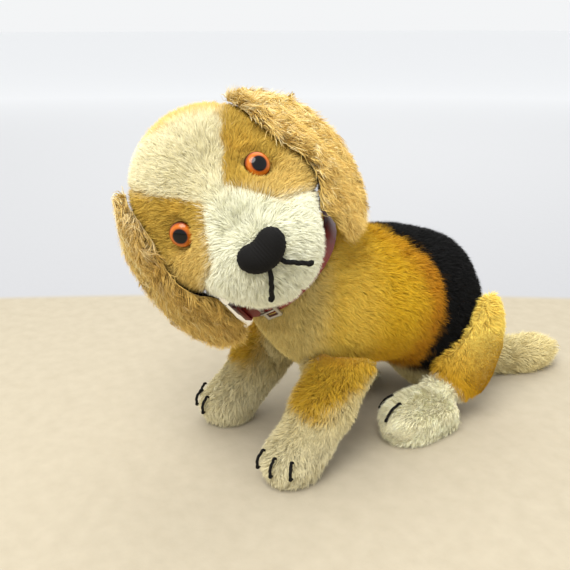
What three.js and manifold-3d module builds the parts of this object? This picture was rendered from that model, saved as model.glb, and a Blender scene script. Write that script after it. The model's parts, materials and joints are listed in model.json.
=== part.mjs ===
// A seated plush beagle puppy with a disc-jointed head.
//
// Millimetres, +Z up. The puppy faces -Y, its own left side is +X, and its tail points to +Y.
// The origin is on the surface that it sits on, under the middle of its bounding box.
// Soft parts are closed solids of the outer shape, pile included. A cover is a shell open where
// it is sewn on or pinned, with its wood wool filling as a separate solid inside it.

import * as THREE from 'three';
import { mergeVertices } from 'three/addons/utils/BufferGeometryUtils.js';
import Module from 'manifold-3d';

const wasm = await Module();
wasm.setup();

// ---------------------------------------------------------------- driving dimensions

const GAP = 0.3;                    // kept between pieces that touch
const COVER = 4.5;                  // mohair cover, backing cloth and pile together
const LIMB_COVER = 4;
const LIMB_SOLE = 3.5;              // under a foot, where the pile is pressed
const NECK = [0, -68.4, 102.7];     // middle of the disc joint
const NECK_LEAN = 42;               // degrees that the neck axis leans forward of vertical
const HEAD_TURN = 76;               // degrees that the head is turned to its left
const HEAD_NOD = 15;                // degrees that the face looks down when it is straight ahead
const SKULL_ABOVE_NECK = 42.6;      // skull centre along the neck axis
const SKULL_BEHIND_NECK = 6.6;      // skull centre behind the neck axis
const NECK_RADIUS = 28.4;           // inside the collar
const GROOVE_HALF = 6.4;            // half of the space that the collar lies in
const BODY_FLARE = 4;               // how far each side of the groove slopes away
const HEAD_FLARE = 5;
const NECK_CLOTH = 2;               // gathered cloth on each side of the joint
const DISC_RADIUS = 20;
const DISC_THICK = 1.5;
const WASHER_RADIUS = 6;
const WASHER_THICK = 0.8;
const PIN_RADIUS = 1.2;
const PIN_HALF = 8;
const EYE_RADIUS = 5.4;
const EYE_DOME = 3;                 // its glass in front of its widest ring
const EYE_BACK = 2.4;               // and behind
const EYE_AT = [20.1, -36, -5.1];   // left eye from the skull centre
const EYE_OUT = 20;                 // degrees that each eye looks outwards
const SHANK_RADIUS = 0.6;
const SHANK_LENGTH = 17;
const EAR_ROOT = [29, -4, 24];      // sewn top of the left ear from the skull centre
const EAR_LENGTH = 78;
const EAR_WIDTH = 47;
const EAR_FLARE = 0.05;             // share that an ear widens towards its end
const EAR_PILE = 9;                 // outer mohair of an ear
const EAR_LINING = 2.6;
const LINING_REACH = 0.86;          // share of the ear that its lining covers
const STRAP_WIDTH = 8.4;
const STRAP_THICK = 1.6;
const STRAP_INNER = 30;             // inside radius of the collar strap
const BUCKLE_ANGLE = -45;           // degrees round the neck from the puppy's left
const UNDER_BUCKLE = 4;             // degrees of strap on the other side of the buckle
const OVERLAP_RISE = [318, 356];    // degrees round the strap where its free end climbs over it
const TONGUE_ANGLE = 42;            // degrees of free strap end past the buckle
const BUCKLE = { width: 7.6, height: 11.6, wire: 1.4 };
const PRONG_PIVOT = 3.1;            // prong's bar from the middle of the buckle
const PRONG_RADIUS = 0.6;
const KEEPER = { angle: -26, width: 4, wall: 0.9 };
const MOUTH_THREAD = 1;             // radii of the stitching threads
const CLAW_THREAD = 0.8;
const THREAD_REST = 0.15;           // a thread rests this far off the pile, besides the gap
const FAR = 120;                    // larger than any piece that is cut
const WIDE = 40;                    // larger than the neck's radius

const rad = THREE.MathUtils.degToRad;
const vector = (point) => new THREE.Vector3(...point);

// ---------------------------------------------------------------- solids

function toSolid(geometry) {
  const bare = geometry.clone();
  bare.deleteAttribute('normal');
  bare.deleteAttribute('uv');
  const merged = mergeVertices(bare, 1e-4);
  return new wasm.Manifold(new wasm.Mesh({
    numProp: 3,
    vertProperties: merged.attributes.position.array,
    triVerts: new Uint32Array(merged.index.array),
  }));
}

function toGeometry(solid) {
  const mesh = solid.getMesh();
  const geometry = new THREE.BufferGeometry();
  geometry.setAttribute('position', new THREE.BufferAttribute(mesh.vertProperties, 3));
  geometry.setIndex(new THREE.BufferAttribute(mesh.triVerts, 1));
  geometry.computeVertexNormals();
  return geometry;
}

function cut(geometry, ...cutters) {
  const solid = cutters.reduce((left, cutter) => left.subtract(toSolid(cutter)), toSolid(geometry));
  return toGeometry(solid);
}

function join(first, second) {
  return toGeometry(toSolid(first).add(toSolid(second)));
}

const moved = (geometry, matrix) => geometry.clone().applyMatrix4(matrix);

// An upright cylinder between two heights.
function rod(radius, low, high, sides = 24) {
  const geometry = new THREE.CylinderGeometry(radius, radius, high - low, sides);
  geometry.rotateX(Math.PI / 2);
  geometry.translate(0, 0, (low + high) / 2);
  return geometry;
}

// A box given by its lowest and highest corners.
function block(low, high) {
  const size = high.map((value, i) => value - low[i]);
  const geometry = new THREE.BoxGeometry(...size);
  geometry.translate(...low.map((value, i) => value + size[i] / 2));
  return geometry;
}

// A ring about Z from [radius, height] corners.
function ring(corners, sides = 32) {
  const profile = [...corners, corners[0]].map(([radius, height]) => new THREE.Vector2(radius, height));
  const geometry = new THREE.LatheGeometry(profile, sides);
  geometry.rotateX(Math.PI / 2);
  return geometry;
}

// A round thread or wire along a smooth curve through the points.
function wire(points, radius, steps = 8, sides = 6) {
  const section = new THREE.Shape();
  for (let i = 0; i < sides; i += 1) {
    const angle = (2 * Math.PI * i) / sides;
    section[i ? 'lineTo' : 'moveTo'](radius * Math.cos(angle), radius * Math.sin(angle));
  }
  const path = new THREE.CatmullRomCurve3(points);
  return new THREE.ExtrudeGeometry(section, { steps, extrudePath: path, bevelEnabled: false });
}

// ---------------------------------------------------------------- stuffed shapes

// Signed distance, roughly, to one ellipsoid. tilt turns it about X, in degrees.
function lumpDistance(lump, point) {
  const local = point.clone().sub(vector(lump.at));
  if (lump.tilt) local.applyAxisAngle(new THREE.Vector3(1, 0, 0), -rad(lump.tilt));
  const size = vector(lump.size);
  const scaled = local.clone().divide(size);
  const slope = scaled.clone().divide(size).length();
  return slope === 0 ? -Math.min(...lump.size) : (scaled.length() * (scaled.length() - 1)) / slope;
}

// Distance to several ellipsoids that flow into each other over the blend length.
function stuffedDistance(shape, point) {
  return shape.lumps.map((lump) => lumpDistance(lump, point)).reduce((a, b) => {
    const mix = Math.max(shape.blend - Math.abs(a - b), 0) / shape.blend;
    return Math.min(a, b) - mix * mix * shape.blend * 0.25;
  });
}

// The point on the shape's surface that lies from its centre in a direction, moved out by raise.
function surfacePoint(shape, direction, raise = 0, centre = shape.centre) {
  const from = vector(centre);
  const along = direction.clone().normalize();
  let inner = 0;
  let outer = FAR;
  for (let step = 0; step < 26; step += 1) {
    const middle = (inner + outer) / 2;
    const inside = stuffedDistance(shape, from.clone().addScaledVector(along, middle)) < raise;
    if (inside) inner = middle;
    else outer = middle;
  }
  return from.addScaledVector(along, inner);
}

// A sphere's geometry with its shared vertices merged.
const bareSphere = (geometry) => mergeVertices(
  geometry.deleteAttribute('normal').deleteAttribute('uv'),
  1e-5,
);

// A closed body of the stuffed shape, grown by raise (or shrunk where it is negative).
function stuffed(shape, detail, raise = 0) {
  const geometry = bareSphere(new THREE.IcosahedronGeometry(1, detail));
  const place = geometry.attributes.position;
  for (let i = 0; i < place.count; i += 1) {
    const direction = new THREE.Vector3().fromBufferAttribute(place, i);
    place.setXYZ(i, ...surfacePoint(shape, direction, raise));
  }
  geometry.computeVertexNormals();
  return geometry;
}

const mirrored = (shape) => ({
  ...shape,
  centre: [-shape.centre[0], shape.centre[1], shape.centre[2]],
  lumps: shape.lumps.map((lump) => ({ ...lump, at: [-lump.at[0], lump.at[1], lump.at[2]] })),
});

const torsoShape = {
  centre: [0, -8, 66],
  blend: 16,
  lumps: [
    { at: [0, -60, 92], size: [29, 27, 27] },
    { at: [0, -40, 76], size: [36, 36, 40] },
    { at: [0, -2, 70], size: [36, 44, 38] },
    { at: [0, 34, 48], size: [34, 29, 49] },
  ],
};

const headShape = {
  centre: [0, -6, -4],
  blend: 12,
  lumps: [
    { at: [0, 0, 0], size: [38, 39, 38] },
    { at: [0, -36, -28.5], size: [27.5, 28, 27.5] },
    { at: [0, -34, -9], size: [11, 16, 15] },
    { at: [19, -14, -18], size: [20, 21, 19] },
    { at: [-19, -14, -18], size: [20, 21, 19] },
    { at: [0, 13, -36], size: [27, 27, 18], tilt: 27 },
  ],
};

const frontLegShape = {
  centre: [30, -62, 30],
  blend: 10,
  lumps: [
    { at: [25, -42, 54], size: [17, 20, 22] },
    { at: [30, -60, 33], size: [17.5, 17, 22], tilt: -38 },
    { at: [32, -78.5, 12.5], size: [16.5, 20.5, 14] },
  ],
};

const thighShape = {
  centre: [29, 36, 40],
  blend: 10,
  lumps: [
    { at: [28, 40, 46], size: [17, 19, 30], tilt: -16 },
    { at: [30, 29, 25], size: [16, 19, 19] },
  ],
};

const footShape = {
  centre: [34, 0, 13],
  blend: 8,
  lumps: [
    { at: [34, -4, 12.5], size: [15.5, 24, 14.5] },
    { at: [33, 16, 12.5], size: [14, 17, 14] },
  ],
};

const tailShape = {
  centre: [6, 88, 13],
  blend: 10,
  lumps: [
    { at: [0, 64, 19], size: [12, 18, 12], tilt: -22 },
    { at: [5, 86, 13], size: [10.5, 22, 11.5], tilt: -8 },
    { at: [15, 114, 11.5], size: [11, 25, 11.5], tilt: -4 },
  ],
};

// ---------------------------------------------------------------- frames and cutters

const neckFrame = new THREE.Matrix4().makeRotationX(rad(NECK_LEAN)).setPosition(...NECK);
const headInNeck = new THREE.Matrix4().makeRotationX(rad(HEAD_NOD - NECK_LEAN))
  .setPosition(0, SKULL_BEHIND_NECK, SKULL_ABOVE_NECK);
const neckInHead = headInNeck.clone().invert();

const floorCutter = block([-FAR, -FAR, -FAR], [FAR, 2 * FAR, 0]);

// Both sides of the neck narrow to the groove that the collar lies in.
const grooveCutter = ring([
  [NECK_RADIUS, -GROOVE_HALF],
  [WIDE, -GROOVE_HALF - BODY_FLARE],
  [WIDE, GROOVE_HALF + HEAD_FLARE],
  [NECK_RADIUS, GROOVE_HALF],
]);
const underNeckPlane = block([-FAR, -FAR, -FAR], [FAR, FAR, GAP / 2]);
const overNeckPlane = block([-FAR, -FAR, -GAP / 2], [FAR, FAR, FAR]);
const discLow = NECK_CLOTH + 1.5 * GAP;
const discHigh = discLow + DISC_THICK;
const washerLow = discHigh + GAP;
const washerHigh = washerLow + WASHER_THICK;
const discRoom = rod(DISC_RADIUS + GAP, NECK_CLOTH + GAP / 2, discHigh + GAP);
const flip = new THREE.Matrix4().makeRotationX(Math.PI);
const pinBore = rod(PIN_RADIUS + GAP, -PIN_HALF - 2, PIN_HALF + 2, 10);

// What a hollow gives up for the gathered cloth of the neck. side 1 is the head's and -1 the torso's.
function neckCloth(side, clearance) {
  const inner = NECK_RADIUS - NECK_CLOTH - clearance;
  const plane = block([-FAR, -FAR, -FAR], [FAR, FAR, NECK_CLOTH + GAP / 2 + clearance]);
  const wall = ring([
    [inner, -GROOVE_HALF],
    [WIDE, -GROOVE_HALF],
    [WIDE, GROOVE_HALF + 2 * (COVER + clearance)],
    [inner, GROOVE_HALF + COVER + clearance],
  ]);
  return side > 0 ? [plane, wall] : [plane, wall].map((cutter) => moved(cutter, flip));
}

// ---------------------------------------------------------------- the assembly

const puppy = new THREE.Group();
const neck = new THREE.Group();
neck.applyMatrix4(neckFrame);
const headTurn = new THREE.Group();
headTurn.rotation.z = rad(HEAD_TURN);
const head = new THREE.Group();
head.applyMatrix4(headInNeck);
puppy.add(neck);
neck.add(headTurn);
headTurn.add(head);

const finish = {
  goldenMohair: { color: 0xd19a45, roughness: 0.95, metalness: 0 },
  creamMohair: { color: 0xe9dfbe, roughness: 0.95, metalness: 0 },
  tanMohair: { color: 0xcfae6e, roughness: 0.95, metalness: 0 },
  darkLining: { color: 0x3a281c, roughness: 0.95, metalness: 0 },
  woodWool: { color: 0xd9c48f, roughness: 1, metalness: 0 },
  cardboard: { color: 0x9b7b52, roughness: 0.9, metalness: 0 },
  steel: { color: 0xb9b6ae, roughness: 0.35, metalness: 1 },
  glass: { color: 0xd97a2a, roughness: 0.05, metalness: 0 },
  thread: { color: 0x17130f, roughness: 0.8, metalness: 0 },
  redLeather: { color: 0x7c1a1a, roughness: 0.5, metalness: 0 },
};

function add(group, name, geometry, look) {
  const mesh = new THREE.Mesh(geometry, new THREE.MeshStandardMaterial(look));
  mesh.name = name;
  group.add(mesh);
  return mesh;
}

// ---------------------------------------------------------------- torso

const torsoNeckCutters = [grooveCutter, overNeckPlane].map((cutter) => moved(cutter, neckFrame));
const torsoOuter = cut(stuffed(torsoShape, 5), ...torsoNeckCutters, floorCutter);
const torsoHollow = cut(
  stuffed(torsoShape, 2, -COVER),
  ...neckCloth(-1, 0).map((cutter) => moved(cutter, neckFrame)),
  block([-FAR, -FAR, -FAR], [FAR, FAR, COVER]),
);
const bodyDiscRoom = moved(moved(discRoom, flip), neckFrame);
const torsoCover = cut(torsoOuter, torsoHollow, bodyDiscRoom, moved(pinBore, neckFrame));
add(puppy, 'torso_cover', torsoCover, finish.goldenMohair);

// Filling, cut back from the cover and from the joint hardware that it packs round.
const hardwareRoom = (side) => {
  const room = join(
    rod(NECK_RADIUS + 1, 0, discHigh + GAP, 24),
    rod(WASHER_RADIUS + GAP, discHigh, PIN_HALF + 1.5, 16),
  );
  return side < 0 ? moved(room, flip) : room;
};
const torsoFilling = cut(
  stuffed(torsoShape, 2, -COVER - GAP),
  moved(hardwareRoom(-1), neckFrame),
  ...neckCloth(-1, GAP).map((cutter) => moved(cutter, neckFrame)),
  block([-FAR, -FAR, -FAR], [FAR, FAR, COVER + GAP]),
);
add(puppy, 'torso_filling', torsoFilling, finish.woodWool);

// ---------------------------------------------------------------- legs and tail

const torsoSkin = stuffed(torsoShape, 5, GAP);
const torsoNearCutters = [torsoSkin, floorCutter];

// A cover sewn to its neighbours, open where they meet, with its filling inside.
function sewnPart(name, shape, look, neighbours, detail = 4) {
  const outer = stuffed(shape, detail);
  const underHollow = block([-FAR, -FAR, -FAR], [FAR, 2 * FAR, LIMB_SOLE]);
  const hollow = cut(stuffed(shape, 2, -LIMB_COVER), underHollow);
  const underFilling = block([-FAR, -FAR, -FAR], [FAR, 2 * FAR, LIMB_SOLE + GAP]);
  const filling = cut(stuffed(shape, 2, -LIMB_COVER - GAP), ...neighbours, underFilling);
  add(puppy, `${name}_cover`, cut(outer, hollow, ...neighbours), look);
  add(puppy, `${name}_filling`, filling, finish.woodWool);
}

for (const [side, own] of [['left', (shape) => shape], ['right', mirrored]]) {
  const thigh = own(thighShape);
  sewnPart(`front_leg_${side}`, own(frontLegShape), finish.creamMohair, torsoNearCutters);
  sewnPart(`thigh_${side}`, thigh, finish.goldenMohair, torsoNearCutters, 3);
  const footNeighbours = [...torsoNearCutters, stuffed(thigh, 3, GAP)];
  sewnPart(`hind_foot_${side}`, own(footShape), finish.creamMohair, footNeighbours, 3);
}
sewnPart('tail', tailShape, finish.tanMohair, torsoNearCutters, 3);

// ---------------------------------------------------------------- head

const eyeFrame = (side) => new THREE.Matrix4()
  .makeRotationZ(rad(side * EYE_OUT))
  .multiply(new THREE.Matrix4().makeRotationX(Math.PI / 2))
  .setPosition(side * EYE_AT[0], EYE_AT[1], EYE_AT[2]);

// A glass button: domed front, flatter back.
function glassEye(grow) {
  const front = EYE_DOME;
  const arc = [0, 15, 35, 55, 75, 90].map((degrees) => [
    (EYE_RADIUS + grow) * Math.cos(rad(degrees)),
    (front + grow) * Math.sin(rad(degrees)),
  ]);
  const back = [[0, -EYE_BACK - grow], [EYE_RADIUS * 0.75 + grow, -EYE_BACK * 0.75 - grow]];
  const profile = [...back, ...arc].map(([radius, height]) => new THREE.Vector2(Math.abs(radius), height));
  profile[profile.length - 1].x = 0;
  const geometry = new THREE.LatheGeometry(profile, 12);
  geometry.rotateX(Math.PI / 2);
  return geometry;
}

// The bent wire behind each eye. The room for it starts inside the eye.
function eyeShank(radius, start) {
  const hook = 4;
  const bend = [
    [0, 0, start],
    [0, 0, -SHANK_LENGTH / 2],
    [0, 0, -SHANK_LENGTH + 0.75 * hook],
    [0.4 * hook, 0, -SHANK_LENGTH],
    [hook, 0, -SHANK_LENGTH + 0.25 * hook],
  ];
  return wire(bend.map(vector), radius, 7, 5);
}

const headNeckCutters = [grooveCutter, underNeckPlane].map((cutter) => moved(cutter, neckInHead));
const eyeRooms = [1, -1].flatMap((side) => [
  moved(glassEye(GAP), eyeFrame(side)),
  moved(eyeShank(SHANK_RADIUS + GAP, 1 - EYE_BACK), eyeFrame(side)),
]);
const headHollow = cut(
  stuffed(headShape, 2, -COVER),
  ...neckCloth(1, 0).map((cutter) => moved(cutter, neckInHead)),
);
add(head, 'head_cover', cut(
  cut(stuffed(headShape, 5), ...headNeckCutters),
  headHollow,
  moved(discRoom, neckInHead),
  moved(pinBore, neckInHead),
  ...eyeRooms,
), finish.creamMohair);
add(head, 'head_filling', cut(
  stuffed(headShape, 2, -COVER - GAP),
  moved(hardwareRoom(1), neckInHead),
  ...neckCloth(1, GAP).map((cutter) => moved(cutter, neckInHead)),
  ...eyeRooms,
), finish.woodWool);

for (const [side, word] of [[1, 'left'], [-1, 'right']]) {
  add(head, `eye_${word}`, moved(glassEye(0), eyeFrame(side)), finish.glass);
  const shank = eyeShank(SHANK_RADIUS, -EYE_BACK - GAP);
  add(head, `eye_shank_${word}`, moved(shank, eyeFrame(side)), finish.steel);
}

// ---------------------------------------------------------------- nose and mouth

const muzzleCentre = headShape.lumps[1].at;
const headSkin = stuffed(headShape, 5, GAP);
const noseShape = {
  centre: [0, -64, -28.5],
  blend: 4,
  lumps: [
    { at: [4.8, -63.5, -27.6], size: [5.4, 5, 5.4] },
    { at: [-4.8, -63.5, -27.6], size: [5.4, 5, 5.4] },
    { at: [0, -63, -31], size: [6.4, 5, 4.8] },
  ],
};
add(head, 'nose', cut(stuffed(noseShape, 3), headSkin), finish.thread);

// A direction from compass angles: 0, 0 looks along -Y, positive across is to the left.
const towards = (across, rise) => new THREE.Vector3(
  Math.sin(rad(across)) * Math.cos(rad(rise)),
  -Math.cos(rad(across)) * Math.cos(rad(rise)),
  Math.sin(rad(rise)),
);

// A stitch of thick thread that lies on a stuffed shape along the given directions.
function stitch(shape, centre, directions, radius) {
  const raise = radius + GAP + THREAD_REST;
  const points = directions.map((angles) => surfacePoint(shape, towards(...angles), raise, centre));
  return wire(points, radius, 5, 5);
}

for (const [side, word] of [[1, 'left'], [-1, 'right']]) {
  const route = [[side * 8, -18], [side * 13, -23], [side * 20, -30], [side * 27, -37]];
  add(head, `mouth_stitch_${word}`, stitch(headShape, muzzleCentre, route, MOUTH_THREAD), finish.thread);
}

// ---------------------------------------------------------------- ears

// One layer of a hanging ear, for the left side. side 1 is the outer pile and -1 the lining.
// spread is how far out it hangs, tuck how far its end turns in, curl how far its front edge
// comes in to the face, and open how much of that curl is missing at the top.
function earLayer(side, { spread, tuck, curl, open }) {
  const geometry = bareSphere(new THREE.SphereGeometry(1, 12, 10));
  const place = geometry.attributes.position;
  const reach = side > 0 ? 1 : LINING_REACH;
  for (let i = 0; i < place.count; i += 1) {
    const down = -place.getY(i) * reach;
    const blunt = Math.sqrt(1 + Math.max(0, down) ** 2);
    const out = place.getX(i) * blunt;
    const across = -place.getZ(i) * reach * blunt;
    const width = (EAR_WIDTH / 2) * (1 + EAR_FLARE * down);
    const rootBend = down < 0 ? (spread - EAR_ROOT[0]) * down * down : 0;
    const tipBend = down > 0 ? tuck * down * down : 0;
    const twist = curl * (1 - (open * (1 - down)) / 2);
    const sheet = spread - rootBend - tipBend + twist * across;
    const pile = Math.max(0, out) ** 0.6 * EAR_PILE;
    const thick = side > 0 ? pile : out * EAR_LINING;
    const height = EAR_ROOT[2] - ((down + 1) * EAR_LENGTH) / 2;
    place.setXYZ(i, sheet + thick, EAR_ROOT[1] + across * width, height);
  }
  return geometry;
}

const mirror = new THREE.Matrix4().makeScale(-1, 1, 1);
function mirrorGeometry(geometry) {
  const copy = moved(geometry, mirror);
  copy.index.array.reverse();
  copy.computeVertexNormals();
  return copy;
}

const earHang = {
  left: { spread: 42, tuck: 9, curl: 11.5, open: 0 },
  right: { spread: 42, tuck: 5, curl: 15, open: 0.6 },
};
const towardsHead = new THREE.Matrix4().makeTranslation(-GAP, 0, 0);
for (const [word, hang] of Object.entries(earHang)) {
  const pile = earLayer(1, hang);
  const own = word === 'left' ? (geometry) => geometry : mirrorGeometry;
  add(head, `ear_mohair_${word}`, own(cut(pile, headSkin)), finish.tanMohair);
  const lining = cut(earLayer(-1, hang), moved(pile, towardsHead), headSkin);
  add(head, `ear_lining_${word}`, own(lining), finish.darkLining);
}

// ---------------------------------------------------------------- claws

// Stitches over the end of each foot, at degrees outwards from straight ahead.
const claws = {
  front: { shape: frontLegShape, end: 2, spreads: [-9, 18, 45], rises: [-8, 9, 26] },
  hind: { shape: footShape, end: 0, spreads: [-32, 4], rises: [6, 22, 40] },
};
for (const [part, { shape, end, spreads, rises }] of Object.entries(claws)) {
  const centre = shape.lumps[end].at;
  for (const [word, own, outward] of [['left', (x) => x, 1], ['right', mirrored, -1]]) {
    const paw = own(shape);
    const pawMiddle = [outward * centre[0], centre[1], centre[2]];
    spreads.forEach((spread, i) => {
      const route = rises.map((rise) => [outward * spread, rise]);
      const thread = stitch(paw, pawMiddle, route, CLAW_THREAD);
      add(puppy, `claw_${part}_${word}_${i + 1}`, thread, finish.thread);
    });
  }
}

// ---------------------------------------------------------------- disc joint

const bored = (geometry) => cut(geometry, pinBore);
add(headTurn, 'head_disc', bored(rod(DISC_RADIUS, discLow, discHigh)), finish.cardboard);
add(headTurn, 'head_washer', bored(rod(WASHER_RADIUS, washerLow, washerHigh, 16)), finish.steel);
add(neck, 'body_disc', bored(rod(DISC_RADIUS, -discHigh, -discLow)), finish.cardboard);
add(neck, 'body_washer', bored(rod(WASHER_RADIUS, -washerHigh, -washerLow, 16)), finish.steel);

// A split pin: the round head bears on one washer and the two bent legs on the other.
function pinEnd(reach, height, sag) {
  const points = [[-reach, 0, height - sag], [0, 0, height], [reach, 0, height - sag]];
  return wire(points.map(vector), PIN_RADIUS * 0.7, 6, 6);
}
const pinHead = pinEnd(3, PIN_HALF, 0.9);
const pinLegs = pinEnd(4, 0.4 - PIN_HALF, -0.6);
const pinShaft = rod(PIN_RADIUS, 0.6 - PIN_HALF, PIN_HALF - 0.2, 10);
add(neck, 'neck_pin', join(join(pinShaft, pinHead), pinLegs), finish.steel);

// ---------------------------------------------------------------- collar

const collar = new THREE.Group();
neck.add(collar);
const overlapLift = STRAP_THICK + GAP;

function strap() {
  const inside = [];
  const outside = [];
  const steps = 40;
  const sweep = 360 + TONGUE_ANGLE;
  for (let i = 0; i <= steps; i += 1) {
    const turned = (sweep * i) / steps;
    const angle = rad(BUCKLE_ANGLE + UNDER_BUCKLE - turned);
    const rise = overlapLift * THREE.MathUtils.smoothstep(turned, ...OVERLAP_RISE);
    inside.push([angle, STRAP_INNER + rise]);
    outside.push([angle, STRAP_INNER + rise + STRAP_THICK]);
  }
  const outline = [...inside, ...outside.reverse()];
  const corners = outline.map(([angle, r]) => new THREE.Vector2(r * Math.cos(angle), r * Math.sin(angle)));
  const shape = new THREE.Shape(corners);
  const geometry = new THREE.ExtrudeGeometry(shape, { depth: STRAP_WIDTH, bevelEnabled: false, steps: 1 });
  geometry.translate(0, 0, -STRAP_WIDTH / 2);
  return geometry;
}
add(collar, 'collar_strap', strap(), finish.redLeather);

// A flat frame that lies against the collar at an angle: X along the strap, Y across it, Z outwards.
function onCollar(geometry, degrees, radius) {
  const spot = new THREE.Matrix4().makeRotationZ(rad(degrees));
  spot.multiply(new THREE.Matrix4().makeTranslation(radius, 0, 0));
  spot.multiply(new THREE.Matrix4().makeRotationY(Math.PI / 2));
  spot.multiply(new THREE.Matrix4().makeRotationZ(Math.PI / 2));
  return moved(geometry, spot);
}

function frame(width, height, holeWidth, holeHeight, depth) {
  const corner = (x, y) => new THREE.Vector2(x / 2, y / 2);
  const rectangle = (w, h) => [corner(-w, -h), corner(w, -h), corner(w, h), corner(-w, h)];
  const shape = new THREE.Shape(rectangle(width, height));
  shape.holes.push(new THREE.Path(rectangle(holeWidth, holeHeight)));
  const geometry = new THREE.ExtrudeGeometry(shape, { depth, bevelEnabled: false });
  geometry.translate(0, 0, -depth / 2);
  return geometry;
}

const strapTop = STRAP_INNER + STRAP_THICK + overlapLift;
const frameMiddle = strapTop + GAP + BUCKLE.wire / 2;
const buckle = frame(
  BUCKLE.width,
  BUCKLE.height,
  BUCKLE.width - 2 * BUCKLE.wire,
  BUCKLE.height - 2 * BUCKLE.wire + 0.2,
  BUCKLE.wire,
);
add(collar, 'buckle_frame', onCollar(buckle, BUCKLE_ANGLE, frameMiddle), finish.steel);
const prongRise = BUCKLE.wire / 2 + PRONG_RADIUS + GAP;
const prongLine = [[PRONG_PIVOT, 0, prongRise], [0, 0, prongRise + 0.2], [-PRONG_PIVOT - 1, 0, prongRise]];
const prong = wire(prongLine.map(vector), PRONG_RADIUS, 5, 6);
add(collar, 'buckle_prong', onCollar(prong, BUCKLE_ANGLE, frameMiddle), finish.steel);

const keeperLow = STRAP_INNER - GAP - KEEPER.wall;
const keeperHigh = strapTop + GAP + KEEPER.wall;
const keeper = frame(
  keeperHigh - keeperLow,
  STRAP_WIDTH + 2 * (KEEPER.wall + GAP + 0.1),
  keeperHigh - keeperLow - 2 * KEEPER.wall,
  STRAP_WIDTH + 2 * GAP,
  KEEPER.width,
);
keeper.rotateY(Math.PI / 2);
const keeperSpot = [BUCKLE_ANGLE + KEEPER.angle, (keeperLow + keeperHigh) / 2];
add(collar, 'collar_keeper', onCollar(keeper, ...keeperSpot), finish.redLeather);

// ---------------------------------------------------------------- export

const box = new THREE.Box3().setFromObject(puppy, true);
const middle = box.getCenter(new THREE.Vector3());
puppy.position.set(-middle.x, -middle.y, -box.min.z);

const root = new THREE.Group();
root.add(puppy);
export default root;
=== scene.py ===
"""A seated plush puppy in mohair, built round its CAD part.

Metres, in the CAD's own frame: the chest faces -Y, the puppy's own left is +X and Z is up.
Each stuffed part is a sewn skin wrapped over its CAD solid, sunk by the depth of the pile, and
the pile itself is real geometry: thousands of thin tapered locks rooted in the skin.
"""

import json
import math

import bmesh
import bpy
import numpy as np
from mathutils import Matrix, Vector
from mathutils.bvhtree import BVHTree
from mathutils.kdtree import KDTree


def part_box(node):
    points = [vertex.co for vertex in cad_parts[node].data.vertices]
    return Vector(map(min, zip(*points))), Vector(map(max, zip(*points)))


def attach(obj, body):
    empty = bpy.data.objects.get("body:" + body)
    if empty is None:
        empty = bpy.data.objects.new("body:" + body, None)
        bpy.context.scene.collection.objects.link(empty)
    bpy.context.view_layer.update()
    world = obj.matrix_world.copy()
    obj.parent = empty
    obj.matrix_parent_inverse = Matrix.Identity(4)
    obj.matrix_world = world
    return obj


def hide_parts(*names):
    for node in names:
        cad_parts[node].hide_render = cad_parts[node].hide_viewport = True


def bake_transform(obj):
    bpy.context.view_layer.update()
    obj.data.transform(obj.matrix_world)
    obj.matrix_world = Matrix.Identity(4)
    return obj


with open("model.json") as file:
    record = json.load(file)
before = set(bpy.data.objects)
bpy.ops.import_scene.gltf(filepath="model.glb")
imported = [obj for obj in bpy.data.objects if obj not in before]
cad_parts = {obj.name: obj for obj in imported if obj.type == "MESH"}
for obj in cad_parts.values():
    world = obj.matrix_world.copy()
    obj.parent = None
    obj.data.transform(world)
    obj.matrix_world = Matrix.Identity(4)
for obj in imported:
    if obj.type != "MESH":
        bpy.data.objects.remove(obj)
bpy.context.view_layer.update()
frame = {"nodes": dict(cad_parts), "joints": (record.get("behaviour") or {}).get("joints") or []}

# ---- driving values

MM = 0.001

CAMERA_AT = (0.2664, -0.1622, 0.0996)           # from the neck joint
CAMERA_AIM = (-0.0285, 0.0239, -0.0300)
CAMERA_LENS = 43.95                 # on the usual 36 mm wide sensor
FLOOR_HALF = 30.0
CLOTH_RADIUS = 3.0                  # the pale cloth is a large round one, with its edge behind the puppy
CLOTH_BEHIND = 0.205                # its edge from the neck joint, away from the camera
CLOTH_FADE = 0.012
WALL_FADE = 1.7
LIGHTS_AIM = (0, 0, 0.08)
LIGHTS = {                          # place, diameter, watts and colour
    "window": ((0.32, -0.5, 0.95), 0.7, 11.0, (1.0, 0.98, 0.94)),
    "sky": ((-0.35, 0.35, 1.1), 1.0, 4.0, (1.0, 0.98, 0.95)),
}
DAYLIGHT = (0.95, 0.96, 0.97, 1)
DAYLIGHT_STRENGTH = 0.95

PILE = 4.0 * MM                     # depth of the short pile, which the CAD solids include
SNUG = 0.6 * MM                     # how far a skin sinks where it meets the floor or a neighbour
NEAR = 6.0 * MM                     # reach over which a skin goes from snug to sunk
HAND_CLEAR = 0.5 * MM               # kept between sewn neighbours
SKIN_FLOOR = 0.4 * MM               # lowest that a skin, a lock's root and the rest of a lock may be
ROOT_FLOOR = 0.9 * MM
LOCK_FLOOR = 0.15 * MM
CREASE_DEPTH = 0.7 * MM             # of the cloth along a seam
CREASE_WIDTH = 1.4 * MM
SEAM_WIDTH = 1.2 * MM               # of the cloth that a seam holds still

SKULL_BEHIND_EARS = 4.0 * MM        # from the middle between the ear hinges to the skull's centre
SKULL_BELOW_EARS = 24.5 * MM
EYE_TURN = 20.0                     # degrees that each eye looks outwards
NECK_COVERED = 35.0 * MM            # radius inside which the collar hides the neck's pile
NECK_HALF_GROOVE = 6.8 * MM

EAR_CLOTH = 2.4 * MM                # thickness of an ear's backing cloth

LINING_CLOTH = 1.4 * MM

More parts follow.
